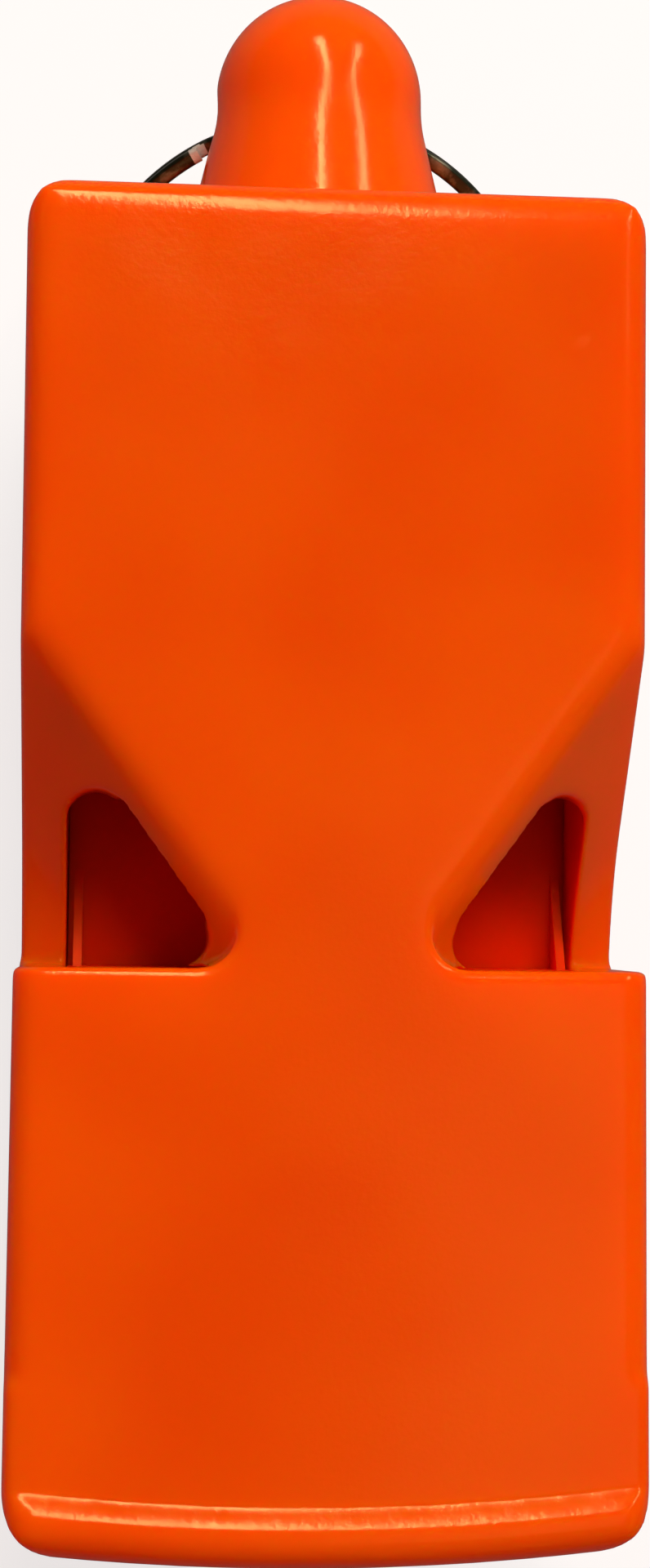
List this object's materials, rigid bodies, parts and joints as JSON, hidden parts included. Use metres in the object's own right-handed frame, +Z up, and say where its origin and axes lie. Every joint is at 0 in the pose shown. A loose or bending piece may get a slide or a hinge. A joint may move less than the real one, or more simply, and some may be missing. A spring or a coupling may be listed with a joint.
{
  "type": "sports whistle",
  "caption": "Pealess sports whistle with slanted scoops over two side windows, a raised bite bead and a split ring through its rear lug.",
  "frame": {"origin": "under the middle of the whistle's whole length and width, on the surface that the belly rests on", "axes": "+Z up through the flat top, +Y from the blowing end towards the lug, +X to the whistle's right when it is seen from above with the lug at the top"},
  "size_m": [0.021, 0.0548, 0.0204],
  "materials": {
    "housing_abs": "moulded orange ABS with a soft gloss",
    "insert_abs": "moulded orange ABS, as it leaves the tool",
    "cover_abs": "moulded orange ABS with a soft gloss",
    "ring_steel": "nickel-plated spring steel, darkened by handling"
  },
  "bodies": {
    "whistle": {"top_housing": "housing_abs", "chamber_insert": "insert_abs", "belly_cover": "cover_abs"},
    "ring": {"split_ring": "ring_steel"}
  },
  "joints": [
    {"name": "ring_swing", "type": "hinge", "parent": "whistle", "child": "ring", "pos_m": [0, 0.0227, 0.00845], "axis": [1, 0, 0], "range_deg": [-1.5, 250]}
  ]
}
